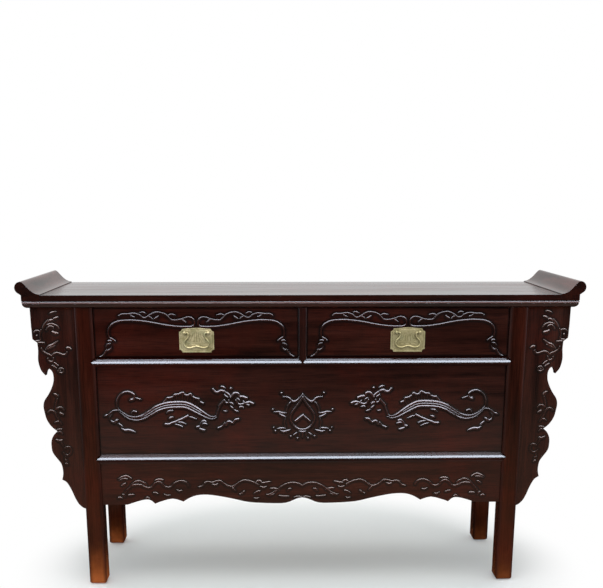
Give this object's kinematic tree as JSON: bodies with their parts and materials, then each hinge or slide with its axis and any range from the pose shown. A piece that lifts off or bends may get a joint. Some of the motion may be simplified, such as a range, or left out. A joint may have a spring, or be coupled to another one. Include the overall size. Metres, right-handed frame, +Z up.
{
  "type": "sideboard",
  "caption": "Altar coffer sideboard with raised scroll ends, scalloped wing spandrels, sliding drawers with swinging brass bails and a closed carved front over a hidden compartment.",
  "frame": {"origin": "on the floor, under the middle of the top", "axes": "+X along the length to the viewer's right, +Y from the front to the back, +Z up"},
  "size_m": [1.56, 0.38, 0.891],
  "materials": {
    "lacquered_wood": "dark red-brown lacquered hardwood, half gloss, worn at the feet and edges",
    "plain_wood": "unlacquered secondary wood inside and at the back",
    "aged_brass": "dulled pale yellow brass"
  },
  "bodies": {
    "frame": {"top_front_rail": "lacquered_wood", "top_back_rail": "lacquered_wood", "top_left_end": "lacquered_wood", "top_right_end": "lacquered_wood", "top_panel": "lacquered_wood", "top_batten_left": "plain_wood", "top_batten_center": "plain_wood", "top_batten_right": "plain_wood", "leg_front_left": "lacquered_wood", "leg_front_right": "lacquered_wood", "leg_rear_left": "lacquered_wood", "leg_rear_right": "lacquered_wood", "front_mid_rail": "lacquered_wood", "front_lower_rail": "lacquered_wood", "drawer_divider": "lacquered_wood", "front_panel": "lacquered_wood", "front_apron": "lacquered_wood", "back_top_rail": "lacquered_wood", "back_mid_rail": "lacquered_wood", "back_lower_rail": "lacquered_wood", "back_upper_panel": "plain_wood", "back_lower_panel": "plain_wood", "side_top_rail_left": "lacquered_wood", "side_top_rail_right": "lacquered_wood", "side_mid_rail_left": "lacquered_wood", "side_mid_rail_right": "lacquered_wood", "side_lower_rail_left": "lacquered_wood", "side_lower_rail_right": "lacquered_wood", "side_upper_panel_left": "lacquered_wood", "side_upper_panel_right": "lacquered_wood", "side_lower_panel_left": "lacquered_wood", "side_lower_panel_right": "lacquered_wood", "compartment_floor": "plain_wood", "floor_batten": "plain_wood", "drawer_runner_left": "plain_wood", "drawer_runner_right": "plain_wood", "drawer_runner_center": "plain_wood", "wing_front_left": "lacquered_wood", "wing_front_right": "lacquered_wood", "wing_rear_left": "lacquered_wood", "wing_rear_right": "lacquered_wood"},
    "drawer_left": {"drawer_left_front": "lacquered_wood", "drawer_left_side_left": "plain_wood", "drawer_left_side_right": "plain_wood", "drawer_left_back": "plain_wood", "drawer_left_bottom": "plain_wood", "pull_plate_left": "aged_brass", "pull_post_left_left": "aged_brass", "pull_post_left_right": "aged_brass"},
    "drawer_right": {"drawer_right_front": "lacquered_wood", "drawer_right_side_left": "plain_wood", "drawer_right_side_right": "plain_wood", "drawer_right_back": "plain_wood", "drawer_right_bottom": "plain_wood", "pull_plate_right": "aged_brass", "pull_post_right_left": "aged_brass", "pull_post_right_right": "aged_brass"},
    "bail_left": {"pull_bail_left": "aged_brass"},
    "bail_right": {"pull_bail_right": "aged_brass"}
  },
  "joints": [
    {"name": "drawer_left_slide", "type": "slide", "parent": "frame", "child": "drawer_left", "axis": [0, -1, 0], "range_m": [0, 0.23]},
    {"name": "drawer_right_slide", "type": "slide", "parent": "frame", "child": "drawer_right", "axis": [0, -1, 0], "range_m": [0, 0.23]},
    {"name": "bail_left_swing", "type": "hinge", "parent": "drawer_left", "child": "bail_left", "pos_m": [-0.294, -0.1783, 0.749], "axis": [-1, 0, 0], "range_deg": [0, 165]},
    {"name": "bail_right_swing", "type": "hinge", "parent": "drawer_right", "child": "bail_right", "pos_m": [0.294, -0.1783, 0.749], "axis": [-1, 0, 0], "range_deg": [0, 165]}
  ]
}
